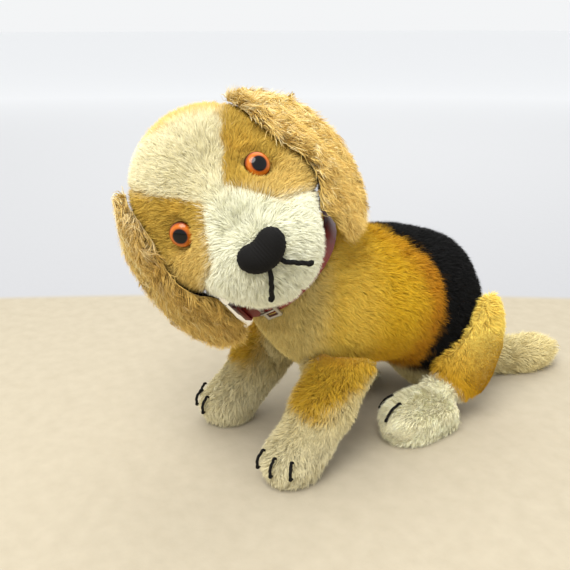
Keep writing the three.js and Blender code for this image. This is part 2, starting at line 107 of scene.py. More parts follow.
MOUTH_THREAD = 1.0 * MM             # radius of each stitch
CLAW_THREAD = 0.75 * MM
MOUTH_SUNK = 1.0 * MM               # how far the stitches lie under the CAD's threads
CLAW_SUNK = 3.8 * MM
THREAD_RINGS = 6                    # rings of vertices along a CAD thread
STITCH_DIP = 1.6 * MM               # how far a stitch's ends go in
STITCH_REACH = 4.0 * MM             # how far a mouth stitch runs in under the nose
CLAWS = {"front": (1, 2, 3), "hind": (1, 2)}

LOCKS_IN_TUFT = 18
PIECE_LOCKS = 10000                 # a pile is made of several pieces of at most this many locks
# Each pile's locks: their length and width, how many to a square millimetre, the angle in degrees at which
# they leave the cloth, and how much they spread, gather in tufts and wave.
PILES = {
    "torso": {"length": 4.2 * MM, "density": 6.0, "width": 0.3 * MM, "clump": 0.22},
    "head": {"length": 4.0 * MM, "density": 8.5, "width": 0.26 * MM, "clump": 0.25, "lift": 54},
    "limb": {"length": 4.4 * MM, "density": 6.0, "width": 0.32 * MM},
    "tail": {"length": 7.0 * MM, "density": 3.6, "width": 0.44 * MM, "lift": 36, "wave": 0.2},
    # The ear's roots are painted darker, as shade deep in the pile, and its tips lighter, as painted light
    "ear": {"length": 7.0 * MM, "density": 9.0, "width": 0.36 * MM, "lift": 36, "spread": 0.42,
            "clump": 0.3, "wave": 0.3, "root_painted_shade": 0.78, "tip_painted_light": 1.12},
    "ear_lining": {"length": 2.6 * MM, "density": 6.0, "width": 0.42 * MM, "lift": 40},
}

SIM_FRAMES = 14
SIM_CAP = 1.2 * MM                  # how far the inflated cloth may move

# The face's seams as straight lines: a place sideways and up from the skull's centre, in millimetres,
# and a slope. The lower seam falls outwards from the nose, less steeply once it reaches its outer line.
CROWN_SEAM = (0, -8.5, 1.25)
LOWER_SEAM_INNER = (4.3, -3.4, -1.53)
LOWER_SEAM_OUTER = (16, -21.3, -0.47)
SIDES = ("left", "right")
SIGNED_SIDES = (("left", 1), ("right", -1))


def colour(red, green, blue):
    """A linear colour from display values between 0 and 255."""
    return np.array([(value / 255) ** 2.2 for value in (red, green, blue)])


CREAM = colour(240, 224, 166)
CROWN = colour(242, 234, 196)
WHITE = colour(248, 247, 222)
FOOT_WARMTH = np.array([1.1, 1.05, 0.95])
LEG_WHITE = colour(228, 218, 178)
CAP = colour(236, 202, 122)
TAN = colour(206, 170, 74)
PALE_TAN = colour(228, 198, 118)
EAR_TAN = colour(234, 202, 118)
# Paler ear colour: in random curls, and towards the top of the ear as painted light from above
EAR_TIP = colour(252, 236, 184)
# Darker ear colour: random dark streaks, and painted shade on the ears' fronts, heavier on the right ear
EAR_STREAK_AND_PAINTED_SHADE = colour(170, 130, 54)
GOLD = colour(222, 180, 42)
RUST = colour(184, 114, 22)
HAUNCH = colour(250, 220, 106)
SADDLE = colour(3, 2, 1)
LINING = colour(46, 30, 20)
STRAW = colour(214, 192, 130)

# ---- small helpers


def unit(vectors):
    return vectors / np.maximum(np.linalg.norm(vectors, axis=-1, keepdims=True), 1e-12)


def ramp(value, low, high):
    """0 below low and 1 above high, smoothly."""
    t = np.clip((value - low) / (high - low), 0, 1)
    return t * t * (3 - 2 * t)


def ripple(points, wavelength, seed, waves=7):
    """A smooth random field with values mostly between -1 and 1."""
    rng = np.random.default_rng(seed)
    total = np.zeros(len(points))
    for _ in range(waves):
        direction = unit(rng.normal(size=3))
        length = wavelength * rng.uniform(0.7, 1.5)
        total += np.sin(points @ direction * 2 * math.pi / length + rng.uniform(0, 2 * math.pi))
    return total * math.sqrt(1.6 / waves)


def ripples(points, wavelength, seed):
    """Three ripples, as a vector field."""
    return np.stack([ripple(points, wavelength, seed + i) for i in range(3)], axis=1)


def blend_colours(under, over, mask):
    return under + (over - under) * mask[:, None]


def points_of(obj):
    found = np.zeros(len(obj.data.vertices) * 3)
    obj.data.vertices.foreach_get("co", found)
    return found.reshape(-1, 3)


def triangles_of(obj):
    obj.data.calc_loop_triangles()
    found = np.zeros(len(obj.data.loop_triangles) * 3, np.int32)
    obj.data.loop_triangles.foreach_get("vertices", found)
    return found.reshape(-1, 3)


def normals_of(obj):
    found = np.zeros(len(obj.data.vertices) * 3)
    obj.data.vertex_normals.foreach_get("vector", found)
    return found.reshape(-1, 3)


def set_points(obj, points):
    obj.data.vertices.foreach_set("co", np.asarray(points, np.float32).ravel())
    obj.data.update()


def tree_of(obj):
    return BVHTree.FromPolygons(points_of(obj).tolist(), triangles_of(obj).tolist())


def placed(name, data):
    """An object for some data, in the scene."""
    obj = bpy.data.objects.new(name, data)
    bpy.context.scene.collection.objects.link(obj)
    return obj


def new_object(name, points, faces):
    mesh = bpy.data.meshes.new(name)
    mesh.from_pydata(np.asarray(points).tolist(), [], [tuple(map(int, face)) for face in faces])
    mesh.validate()
    mesh.polygons.foreach_set("use_smooth", [True] * len(mesh.polygons))
    mesh.update()
    return placed(name, mesh)


def distances(points, tree, limit):
    """Distance of each point to a mesh, negative inside it."""
    found = np.full(len(points), limit)
    for i, point in enumerate(points):
        place, normal, _, distance = tree.find_nearest(Vector(point), limit)
        if place is not None:
            outside = (Vector(point) - place).dot(normal) >= 0
            found[i] = distance if outside else -distance
    return found


def is_inside(points, tree):
    """True for each point inside a closed mesh: a ray from it crosses the mesh an odd number of times."""
    direction = Vector((0.31, 0.23, 0.92)).normalized()
    found = np.zeros(len(points), bool)
    for i, point in enumerate(points):
        start = Vector(point)
        while True:
            place, _, _, _ = tree.ray_cast(start, direction)
            if place is None:
                break
            found[i] = not found[i]
            start = place + direction * 0.02 * MM
    return found


def buried(points, obj):
    """True for each point inside a closed object."""
    shape = points_of(obj)
    near = ((points > shape.min(0)) & (points < shape.max(0))).all(1)
    found = np.zeros(len(points), bool)
    found[near] = is_inside(points[near], tree_of(obj))
    return found


def smoothed(points, edges, rounds, share=0.5):
    """Points moved towards the mean of their neighbours, several times."""
    count = np.zeros(len(points))
    np.add.at(count, edges.ravel(), 1)
    for _ in range(rounds):
        total = np.zeros_like(points)
        np.add.at(total, edges[:, 0], points[edges[:, 1]])
        np.add.at(total, edges[:, 1], points[edges[:, 0]])
        points = points + share * (total / np.maximum(count, 1)[:, None] - points)
    return points


def edges_of(obj):
    found = np.zeros(len(obj.data.edges) * 2, np.int32)
    obj.data.edges.foreach_get("vertices", found)
    return found.reshape(-1, 2)


# ---- frames from the CAD

joints = {joint["name"]: joint for joint in frame["joints"]}
ear_pivot = {side: np.array(joints[f"ear_{side}_lift"]["pos_m"]) for side in ("left", "right")}
head_back = np.array(joints["ear_right_lift"]["axis"])
head_left = unit(ear_pivot["left"] - ear_pivot["right"])
head_up = np.cross(head_left, head_back)
skull = (ear_pivot["left"] + ear_pivot["right"]) / 2 + SKULL_BEHIND_EARS * head_back
skull = skull - SKULL_BELOW_EARS * head_up
neck_at = np.array(joints["head_swivel"]["pos_m"])
neck_axis = np.array(joints["head_swivel"]["axis"])
torso_low, torso_high = (np.array(corner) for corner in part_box("torso_cover"))
body_middle = (torso_low[0] + torso_high[0]) / 2


def in_head(points):
    """Head coordinates in millimetres: to the puppy's left, backwards and up from the skull's centre."""
    offset = (np.asarray(points) - skull) / MM
    return offset @ head_left, offset @ head_back, offset @ head_up


def head_direction(left, back, up):
    return left * head_left + back * head_back + up * head_up


def node_centre(name):
    low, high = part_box(name)
    return np.array((low + high) / 2)


# ---- colour of the cloth, part by part
# Each function gives the colour at points in the CAD's frame. The seams follow the sewn pattern.


def line_height(line, side):
    place, height, slope = line
    return height + slope * (side - place)


def above_crown_seam(side, up):
    """Millimetres above the seam between the crown and the patch round an eye."""
    return up - line_height(CROWN_SEAM, side)


def above_lower_seam(side, up):
    """Millimetres above the seam between the patch round an eye and the muzzle."""
    inner, outer = line_height(LOWER_SEAM_INNER, side), line_height(LOWER_SEAM_OUTER, side)
    return up - np.where(side < LOWER_SEAM_OUTER[0], inner, outer)


def head_colour(points):
    left, back, up = in_head(points)
    side = np.abs(left)
    crown_seam = above_crown_seam(side, up)
    lower_seam = above_lower_seam(side, up)
    soft = 2.5 + 4 * ramp(back, -28, -10)
    patch = ramp(-crown_seam, -soft, soft) * ramp(lower_seam, -3, 4)
    cap = ramp(back - 1.3 * np.maximum(-left, 0), -22, -10) * ramp(crown_seam, -1, 2)
    nape = ramp(back, 2, 16)
    shade = ripple(points, 16 * MM, 5)[:, None]
    found = blend_colours(np.broadcast_to(WHITE, points.shape), CROWN, ramp(up, -12, 4))
    found = blend_colours(found, CAP, cap)
    patch_colour = blend_colours(TAN * (1 + 0.08 * shade), PALE_TAN, 0.7 * ramp(-up, 4, 16))
    found = blend_colours(found, patch_colour, patch)
    found = blend_colours(found, TAN, nape)
    below = ramp(-(up + 30), 0, 6) * ramp(back, -30, -10)
    return blend_colours(found, CREAM, below)


def from_neck(points):
    """Millimetres to the puppy's left and backwards from the neck joint, and up from the floor."""
    return ((points - np.array([body_middle, neck_at[1], 0])) / MM).T


def saddle_line(y, z):
    """Millimetres behind the front edge of the dark saddle, which curves backwards over the shoulders."""
    return y - (80 - 0.033 * np.maximum(z - 80, 0) ** 2)


def torso_colour(points):
    x, y, z = from_neck(points)
    behind = saddle_line(y, z) + 1.5 * ripple(points, 8 * MM, 7)
    rust = ramp(behind, -22, -2) * ramp(-(z - 96), -24, 10)
    low_rust = ramp(-(z - 62), -14, 24)
    chest = ramp(-(y - 8) - 0.3 * np.abs(x), -18, -2)
    belly = ramp(-(z - 27), -5, 5)
    # Paler gold towards the front: painted light on the chest and shoulders, where the head shades them
    found = blend_colours(np.broadcast_to(GOLD, points.shape), HAUNCH, 0.6 * ramp(-(y - 40), -10, 22))
    found = blend_colours(found, RUST, 0.8 * rust + 0.4 * low_rust * (1 - rust) * ramp(y, 20, 45))
    found = blend_colours(found, CREAM * np.array([1.0, 0.95, 0.72]), chest)
    found = blend_colours(found, CREAM, belly)
    return blend_colours(found, SADDLE, ramp(behind, -2.5, 2.5) * ramp(z, 22, 30))


def front_leg_colour(points):
    x, y, z = from_neck(points)
    edge = z - (33.5 + 0.42 * np.abs(y + 3)) + 1.5 * ripple(points, 7 * MM, 9)
    gold = ramp(edge, -4, 5) * ramp(np.abs(x), 16, 26)
    # Darker cream above the paw: painted shade on the upper leg
    found = blend_colours(np.broadcast_to(LEG_WHITE, points.shape), CREAM * 0.9, ramp(z, 14, 40))
    # The gold reddens at the top of the leg: painted shade in the crease where the leg meets the body
    golden = blend_colours(np.broadcast_to(GOLD * 0.6 + TAN * 0.4, points.shape), RUST, ramp(z, 52, 66))
    return blend_colours(found, golden, gold)


def thigh_colour(points):
    _, y, z = from_neck(points)
    white = ramp(-(z - (33 - 1.2 * (y - 80))), -2.5, 3)
    low = ramp(-(z - 40), -16, 16)
    gold = blend_colours(np.broadcast_to(HAUNCH, points.shape), GOLD * 0.7 + RUST * 0.3, low)
    return blend_colours(gold, WHITE, white)


def foot_colour(points):
    shade = 1 - 0.05 * ripple(points, 9 * MM, 21)
    return WHITE * FOOT_WARMTH * shade[:, None]


def tail_colour(points):
    _, y, _ = from_neck(points)
    found = blend_colours(np.broadcast_to(PALE_TAN, points.shape), CREAM * 0.85, ramp(y, 128, 151))
    return blend_colours(found, CREAM * 0.94, ramp(y, 156, 182))


def ear_colour(points):
    left, back, up = in_head(points)
    wave = ripple(points, 6 * MM, 33)
    # Painted shade on the front of each ear, where it hangs by the face
    front = ramp(-back, 4, 24)
    # Paler in random curls, and paler higher up the ear: painted light from above
    pale = 0.9 * ramp(wave + up / 40, 0.0, 1.2)
    found = blend_colours(np.broadcast_to(EAR_TAN, points.shape), EAR_TIP, pale)
    # Painted shade on the fronts, heavier on the right ear, plus random dark streaks from the wave
    painted_shade_and_streaks = (0.15 + 0.4 * (left < 0)) * front + 0.5 * ramp(-wave, 0.2, 1.3)
    return blend_colours(found, EAR_STREAK_AND_PAINTED_SHADE, np.clip(painted_shade_and_streaks, 0, 0.85))


def lining_colour(points):
    shade = 1 + 0.3 * ripple(points, 6 * MM, 41)
    return LINING * shade[:, None]


# ---- materials


def new_material(name, **values):
    """A material with a Principled shader, its plain values set on its own sockets."""
    material = bpy.data.materials.new(name)
    material.use_nodes = True
    shader = material.node_tree.nodes["Principled BSDF"]
    for socket, value in values.items():
        shader.inputs[socket.replace("_", " ")].default_value = value
    return material, material.node_tree, shader


def noise_node(tree, scale, detail=4.0, stretch=(1, 1, 1)):
    """A noise texture in the piece's own coordinates, with scale in features per millimetre."""
    place = tree.nodes.new("ShaderNodeTexCoord")
    mapping = tree.nodes.new("ShaderNodeMapping")
    mapping.inputs["Scale"].default_value = [scale / MM * value for value in stretch]
    noise = tree.nodes.new("ShaderNodeTexNoise")
    noise.inputs["Scale"].default_value = 1.0
    noise.inputs["Detail"].default_value = detail
    tree.links.new(place.outputs["Object"], mapping.inputs["Vector"])
    tree.links.new(mapping.outputs["Vector"], noise.inputs["Vector"])
    return noise


def between(tree, factor, low, high, kind="RGBA"):
    """A mix of two colours or numbers by a factor socket."""
    mix = tree.nodes.new("ShaderNodeMix")
    mix.data_type = kind
    first, second, out = (6, 7, 2) if kind == "RGBA" else (2, 3, 0)
    tree.links.new(factor, mix.inputs[0])
    for socket, value in ((mix.inputs[first], low), (mix.inputs[second], high)):
        if isinstance(value, bpy.types.NodeSocket):
            tree.links.new(value, socket)
        else:
            socket.default_value = (*value, 1) if kind == "RGBA" else value
    return mix.outputs[out]


def share_between(tree, value, low, high):
    """A node that goes from 0 to 1 as a socket's value goes from low to high."""
    node = tree.nodes.new("ShaderNodeMapRange")
    node.inputs["From Min"].default_value = low
    node.inputs["From Max"].default_value = high
    tree.links.new(value, node.inputs["Value"])
    return node


def bump_from(tree, shader, height, distance, strength=1.0):
    bump = tree.nodes.new("ShaderNodeBump")
    bump.inputs["Distance"].default_value = distance
    bump.inputs["Strength"].default_value = strength
    tree.links.new(height, bump.inputs["Height"])
    tree.links.new(bump.outputs["Normal"], shader.inputs["Normal"])


def product(tree, first, second):
    """Two colour sockets multiplied."""
    mix = tree.nodes.new("ShaderNodeMix")
    mix.data_type = "RGBA"
    mix.blend_type = "MULTIPLY"
    mix.inputs[0].default_value = 1.0
    tree.links.new(first, mix.inputs[6])
    tree.links.new(second, mix.inputs[7])
    return mix.outputs[2]


def attribute_node(tree, name):
    node = tree.nodes.new("ShaderNodeAttribute")
    node.attribute_name = name
    return node


def painted_colour(tree, amount):
    """The mesh's own tint, with a fine uneven shade."""
    noise = noise_node(tree, 0.35)
    shade = between(tree, noise.outputs["Fac"], (1 - amount,) * 3, (1 + amount,) * 3)
    return product(tree, attribute_node(tree, "tint").outputs["Color"], shade)


def fur_material(name, roughness=0.6):
    material, tree, shader = new_material(
        name, Roughness=roughness, Sheen_Weight=0.04, Sheen_Roughness=0.4, Specular_IOR_Level=0.18)
    tree.links.new(painted_colour(tree, 0.16), shader.inputs["Base Color"])
    return material


def backing_material():
    material, tree, shader = new_material("mohair_backing", Sheen_Weight=0.2, Specular_IOR_Level=0.2)
    tree.links.new(painted_colour(tree, 0.25), shader.inputs["Base Color"])
    weave = noise_node(tree, 1.4)
    tree.links.new(between(tree, weave.outputs["Fac"], 0.8, 1.0, "FLOAT"), shader.inputs["Roughness"])
    bump_from(tree, shader, weave.outputs["Fac"], 0.4 * MM)
    return material


def mottled_material(name, dark, light, scale, rough, bump, stretch=(1, 1, 1), **values):
    """Two tones of one colour in an uneven grain, with roughness and bump from the same grain."""
    material, tree, shader = new_material(name, **values)
    grain = noise_node(tree, scale, stretch=stretch)
    shown = between(tree, grain.outputs["Fac"], tuple(dark), tuple(light))
    tree.links.new(shown, shader.inputs["Base Color"])
    tree.links.new(between(tree, grain.outputs["Fac"], *rough, "FLOAT"), shader.inputs["Roughness"])
    bump_from(tree, shader, grain.outputs["Fac"], bump)
    return material


def leather_material():
    """Dark red leather with a cracked grain, and paler where its edges have worn."""
    material, tree, shader = new_material("red_leather", Specular_IOR_Level=0.55, Coat_Weight=0.12)
    cells = tree.nodes.new("ShaderNodeTexVoronoi")
    cells.feature = "DISTANCE_TO_EDGE"
    cells.inputs["Scale"].default_value = 1.1 / MM
    place = tree.nodes.new("ShaderNodeTexCoord")
    tree.links.new(place.outputs["Object"], cells.inputs["Vector"])
    grain = noise_node(tree, 0.5)
    base = between(tree, grain.outputs["Fac"], tuple(colour(84, 12, 14)), tuple(colour(138, 26, 26)))
    worn = tree.nodes.new("ShaderNodeNewGeometry")
    edge = share_between(tree, worn.outputs["Pointiness"], 0.53, 0.62)
    shown = between(tree, edge.outputs["Result"], base, tuple(colour(160, 66, 58)))
    tree.links.new(shown, shader.inputs["Base Color"])
    tree.links.new(between(tree, grain.outputs["Fac"], 0.32, 0.6, "FLOAT"), shader.inputs["Roughness"])
    bump_from(tree, shader, cells.outputs["Distance"], 0.12 * MM, 0.6)
    return material


def eye_material():
    """Amber glass: black pupil, orange iris with fine rays, dark rim, by the mesh's own ring values."""
    material, tree, shader = new_material(
        "amber_glass", Roughness=0.15, Coat_Weight=0.3, Coat_Roughness=0.02, Specular_IOR_Level=0.2)
    ring = attribute_node(tree, "ring")
    rays = noise_node(tree, 0.9, 3.0)
    steps = tree.nodes.new("ShaderNodeValToRGB")
    bands = [
        (0.0, (3, 3, 4)), (0.52, (4, 4, 5)), (0.56, (110, 50, 16)), (0.62, (176, 92, 28)),
        (0.78, (200, 112, 36)), (0.88, (160, 76, 20)), (0.95, (70, 30, 10)), (1.0, (20, 10, 6)),
    ]
    ramp_steps = steps.color_ramp.elements
    while len(ramp_steps) < len(bands):
        ramp_steps.new(0.5)
    for element, (position, shade) in zip(ramp_steps, bands):
        element.position = position
        element.color = (*colour(*shade), 1)
    tree.links.new(ring.outputs["Fac"], steps.inputs["Fac"])
    paler = between(tree, rays.outputs["Fac"], (0.75, 0.7, 0.6), (1.25, 1.2, 1.1))
    tree.links.new(product(tree, steps.outputs["Color"], paler), shader.inputs["Base Color"])
    return material


pile_material = fur_material("mohair_pile")
lining_pile_material = fur_material("lining_pile", roughness=0.75)
skin_material = backing_material()
straw_material = mottled_material(
    "wood_wool", STRAW * 0.6, STRAW, 0.8, (0.7, 0.95), 0.5 * MM, stretch=(1, 1, 4))
thread_material = mottled_material(
    "black_thread", colour(5, 5, 5), colour(24, 22, 21), 3.0, (0.75, 0.95), 0.1 * MM,
    Specular_IOR_Level=0.25)
steel_material = mottled_material(
    "plated_steel", colour(150, 146, 138), colour(205, 202, 196), 0.6, (0.25, 0.45), 0.02 * MM,
    Metallic=1.0)
card_material = mottled_material(
    "card", colour(120, 96, 66), colour(172, 144, 104), 1.2, (0.8, 0.95), 0.08 * MM)
strap_material = leather_material()


def dress(obj, material):
    obj.data.materials.clear()
    obj.data.materials.append(material)
    return obj


def stand_for(obj, material, node, body):
    """Dresses a piece, hides the CAD node it stands for, and attaches it to its body."""
    dress(obj, material)
    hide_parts(node)
    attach(obj, body)


def tint_mesh(obj, colours):
    """Stores a colour for each vertex."""
    layer = obj.data.attributes.new("tint", "FLOAT_COLOR", "POINT")
    rgba = np.concatenate([np.clip(colours, 0, 1), np.ones((len(colours), 1))], axis=1)
    layer.data.foreach_set("color", rgba.astype(np.float32).ravel())


# ---- sewn skins


def wrapped(name, node, detail, rounds):
    """A smooth closed skin over the outside of a CAD solid, as seen from its middle."""
    source = frame["nodes"][node]
    tree = tree_of(source)
    middle = node_centre(node)
    reach = max(source.dimensions) * 2
    ball = bmesh.new()
    bmesh.ops.create_icosphere(ball, subdivisions=detail, radius=1)
    ball.verts.ensure_lookup_table()
    directions = np.array([vert.co for vert in ball.verts])
    faces = [[vert.index for vert in face.verts] for face in ball.faces]
    ball.free()
    points = np.empty_like(directions)
    for i, direction in enumerate(directions):
        place, _, _, _ = tree.ray_cast(Vector(middle + direction * reach), Vector(-direction))
        points[i] = place if place is not None else middle
    obj = new_object(name, points, faces)
    set_points(obj, smoothed(points, edges_of(obj), rounds))
    return obj


def sink(obj, depth, snug_nodes=(), sewn_nodes=()):
    """Moves a skin in by the depth of its pile. It stays out near the floor and the snug nodes, and
    reaches towards the sunk skin of a neighbour that it is sewn to."""
    points, normals = points_of(obj), normals_of(obj)
    move = np.full(len(points), -depth) * ramp(points[:, 2], SNUG, NEAR)
    for node in snug_nodes:
        away = distances(points, tree_of(frame["nodes"][node]), NEAR)
        move = np.maximum(move, -(SNUG + (depth - SNUG) * ramp(np.abs(away), 1.0 * MM, NEAR)))
    for node in sewn_nodes:
        away = np.abs(distances(points, tree_of(frame["nodes"][node]), NEAR))
        join = 1 - ramp(away, 0.8 * MM, 3.0 * MM)
        move = move * (1 - join) + (depth - HAND_CLEAR) * join
    points = points + normals * move[:, None]
    points[:, 2] = np.maximum(points[:, 2], SKIN_FLOOR)
    set_points(obj, smoothed(points, edges_of(obj), 2))


def crease(obj, distance, depth, width):
    """Pulls a skin in along a seam, where the distance given for each vertex is 0."""
    points, normals = points_of(obj), normals_of(obj)
    pull = depth * np.exp(-((distance / width) ** 2))
    set_points(obj, points - normals * pull[:, None])


def inflate(obj, pinned):
    """Fills a skin like stuffed cloth: a short cloth simulation with pressure, held at its seams."""
    before = points_of(obj)
    group = obj.vertex_groups.new(name="seams")
    for i in np.nonzero(pinned > 0.02)[0]:
        group.add([int(i)], float(pinned[i]), "REPLACE")
    cloth = obj.modifiers.new("stuffing", "CLOTH")
    cloth.settings.quality = 3
    cloth.settings.mass = 0.1
    cloth.settings.tension_stiffness = 8
    cloth.settings.compression_stiffness = 8
    cloth.settings.bending_stiffness = 0.4
    cloth.settings.use_pressure = True
    cloth.settings.uniform_pressure_force = 4
    cloth.settings.vertex_group_mass = "seams"
    cloth.settings.effector_weights.gravity = 0
    cloth.collision_settings.use_collision = False
    for step in range(1, SIM_FRAMES + 1):
        bpy.context.scene.frame_set(step)
    evaluated = obj.evaluated_get(bpy.context.evaluated_depsgraph_get())
    after = points_of(evaluated)
    obj.modifiers.remove(cloth)
    obj.vertex_groups.clear()
    bpy.context.scene.frame_set(1)
    move = after - before
    size = np.linalg.norm(move, axis=1, keepdims=True)
    move = move * np.minimum(1, SIM_CAP / np.maximum(size, 1e-9))
    after = before + move
    after[:, 2] = np.maximum(after[:, 2], SKIN_FLOOR)
    set_points(obj, after)


# ---- pile


def sample_surface(obj, density, rng):
    """Random roots on a mesh, density per square millimetre, with their normals."""
    points, normals, triangles = points_of(obj), normals_of(obj), triangles_of(obj)
    corners = points[triangles]
    sides = corners[:, 1:] - corners[:, :1]
    areas = np.linalg.norm(np.cross(sides[:, 0], sides[:, 1]), axis=1) / 2
    count = int(areas.sum() / MM**2 * density)
    chosen = rng.choice(len(triangles), count, p=areas / areas.sum())
    first, second = rng.random(count), rng.random(count)
    flip = first + second > 1
    first[flip], second[flip] = 1 - first[flip], 1 - second[flip]
    share = np.stack([1 - first - second, first, second], axis=1)[:, :, None]
    roots = (corners[chosen] * share).sum(1)
    return roots, unit((normals[triangles[chosen]] * share).sum(1))


def kd_tree(candidates):
    tree = KDTree(len(candidates))
    for i, candidate in enumerate(candidates):
        tree.insert(candidate, i)
    tree.balance()
    return tree


def nearest(points, candidates):
    """Index of the nearest candidate to each point."""
    tree = kd_tree(candidates)
    return np.array([tree.find(point)[1] for point in points])


def locks(roots, normals, flow, length, rng, lift, spread, clump, wave):
    """The middle and tip of each lock. Locks start nearly upright, bend over with the flow, and gather
    in tufts."""
    along = flow - (flow * normals).sum(1, keepdims=True) * normals
    along = unit(along + 0.05 * rng.normal(size=roots.shape))
    across = np.cross(normals, along)
    turn = spread * (0.6 * ripple(roots, 9 * MM, 71) + 0.6 * rng.normal(size=len(roots)))[:, None]
    along = unit(along * np.cos(turn) + across * np.sin(turn))
    raise_by = np.radians(lift + 10 * rng.normal(size=len(roots)))[:, None]
    start = normals * np.sin(raise_by + 0.35) + along * np.cos(raise_by + 0.35)
    end = normals * np.sin(raise_by - 0.25) + along * np.cos(raise_by - 0.25)
    sway = ripples(roots, 5 * MM, 81) * wave
    middle = roots + start * length[:, None] * 0.5 + sway * length[:, None] * 0.5
    tip = middle + end * length[:, None] * 0.55 - sway * length[:, None] * 0.7
    heads = rng.choice(len(roots), max(1, len(roots) // LOCKS_IN_TUFT), replace=False)
    owner = heads[nearest(roots, roots[heads])]
    gather = clump * (0.6 + 0.4 * rng.random(len(roots)))[:, None]
    tip = tip + (tip[owner] - tip) * gather
    middle = middle + (middle[owner] - middle) * gather * 0.35
    return middle, tip


def near_groups(points, most):
    """The points' indices in groups of at most that many, each of points that lie together."""
    waiting, ready = [np.arange(len(points))], []
    while waiting:
        group = waiting.pop()
        if len(group) <= most:
            ready.append(group)
            continue
        longest = np.ptp(points[group], axis=0).argmax()
        order = group[np.argsort(points[group, longest])]
        waiting += [order[:len(order) // 2], order[len(order) // 2:]]
    return ready


def lock_mesh(name, roots, middle, tip, facing, width, root_colour, tip_colour):
    """One mesh of thin tapered blades, with a colour along each and a cell of the map for each."""
    count = len(roots)
    along = unit(tip - roots)
    side = unit(np.cross(along, facing)) * width[:, None] / 2
    sunk = roots - along * 0.5 * MM
    points = np.stack([sunk - side, sunk + side, middle + 0.8 * side, middle - 0.8 * side, tip], axis=1)
    points[:, :, 2] = np.maximum(points[:, :, 2], LOCK_FLOOR)
    base = (np.arange(count) * 5)[:, None]
    loops = np.concatenate([base + np.array((0, 1, 2, 3)), base + np.array((3, 2, 4))], axis=1).ravel()
    sizes = np.tile([4, 3], count)
    mesh = bpy.data.meshes.new(name)
    mesh.vertices.add(count * 5)
    mesh.vertices.foreach_set("co", points.astype(np.float32).ravel())
    mesh.loops.add(len(loops))
    mesh.loops.foreach_set("vertex_index", loops.astype(np.int32))
    mesh.polygons.add(len(sizes))
    mesh.polygons.foreach_set("loop_start", (np.cumsum(sizes) - sizes).astype(np.int32))
    mesh.polygons.foreach_set("use_smooth", np.ones(len(sizes), bool))
    mesh.update(calc_edges=True)
    obj = placed(name, mesh)
    halfway = (root_colour + tip_colour) / 2
    shades = np.stack([root_colour] * 2 + [halfway] * 2 + [tip_colour], axis=1)
    tint_mesh(obj, shades.reshape(-1, 3))
    grid = math.ceil(math.sqrt(count))
    corner = np.stack([np.arange(count) % grid, np.arange(count) // grid], axis=1)[:, None, :]
    spots = [(0.15, 0.15), (0.85, 0.15), (0.85, 0.5), (0.15, 0.5), (0.15, 0.5), (0.85, 0.5), (0.5, 0.85)]
    layer = mesh.uv_layers.new(name="OFBake")
    layer.data.foreach_set("uv", ((corner + np.array(spots)[None]) / grid).astype(np.float32).ravel())
    return obj


def grow(name, skin, colours, flow, seed, length, density, width, lift=48, spread=0.5, clump=0.35,
         wave=0.12, avoid=(), keep=None, trim=None, tip_painted_light=1.06, root_painted_shade=0.8):
    """Covers a skin with pile, in pieces. flow and colours are functions of the roots."""
    rng = np.random.default_rng(seed)
    roots, normals = sample_surface(skin, density, rng)
    use = roots[:, 2] > ROOT_FLOOR
    offset = roots - neck_at
    along_neck = offset @ neck_axis
    off_neck = np.linalg.norm(offset - along_neck[:, None] * neck_axis, axis=1)
    use &= (np.abs(along_neck) > NECK_HALF_GROOVE) | (off_neck > NECK_COVERED)
    if keep is not None:
        use &= keep(roots, normals)
    roots, normals = roots[use], normals[use]
    for other in avoid:
        outside = ~buried(roots + normals * 1.5 * MM, other)
        roots, normals = roots[outside], normals[outside]
    reach = length * rng.uniform(0.7, 1.25, len(roots))
    if trim is not None:
        reach = reach * trim(roots)
    use = reach > 0.5 * MM
    roots, normals, reach = roots[use], normals[use], reach[use]
    middle, tip = locks(roots, normals, flow(roots), reach, rng, lift, spread, clump, wave)
    jitter = roots + 0.9 * MM * rng.normal(size=roots.shape)
    base = colours(jitter) * (1 + 0.07 * rng.normal(size=(len(roots), 1)))
    thick = width * rng.uniform(0.6, 1.2, len(roots))
    facing = normals + 0.5 * rng.normal(size=roots.shape)
    # Each lock's root is painted darker, as shade deep in the pile, and its tip lighter, as painted light
    return [
        lock_mesh(f"{name}_{number}", roots[group], middle[group], tip[group], facing[group], thick[group],
                  base[group] * root_painted_shade, base[group] * tip_painted_light)
        for number, group in enumerate(near_groups(roots, PIECE_LOCKS), 1)]


# ---- build the skins

skins = {}


def make_skin(name, detail, rounds, colours, snug=(), sewn=(), seams=None):
    """A stuffed part's sewn skin, which stands for its CAD cover."""
    obj = wrapped(f"{name}_cloth", f"{name}_cover", detail, rounds)
    sink(obj, PILE, snug, sewn)
    if seams is not None:
        crease(obj, seams(points_of(obj)), CREASE_DEPTH, CREASE_WIDTH)
        inflate(obj, np.exp(-((seams(points_of(obj)) / SEAM_WIDTH) ** 2)))
    # The skin takes its pile's colour, darker: painted shade deep in the pile
    tint_mesh(obj, colours(points_of(obj)) * 0.62)
    dress(obj, skin_material)
    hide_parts(f"{name}_cover")
    skins[name] = obj


FAR_AWAY = 100                      # millimetres, added where a seam has ended


def head_seams(points):
    """Distance to the seams between the crown, the two side patches and the muzzle."""
    left, back, up = in_head(points)
    side = np.abs(left)
    crown = np.abs(above_crown_seam(side, up)) / 1.6 + FAR_AWAY * (up < -6)
    lower = np.abs(above_lower_seam(side, up)) / 1.5 + FAR_AWAY * ((up > -3) | (back > 0))
    chin = side + FAR_AWAY * (up > -30)
    return np.minimum(np.minimum(crown, lower), chin) * MM


def torso_seams(points):
    """Distance to the belly and back seams and to the saddle's front seam."""
    x, y, z = from_neck(points)
    return np.minimum(np.abs(x), np.abs(saddle_line(y, z))) * MM


def side_seam(points):
    """Distance to a part's own middle plane, where its two halves are sewn."""
    middle = (points[:, 0].max() + points[:, 0].min()) / 2
    return np.abs(points[:, 0] - middle)


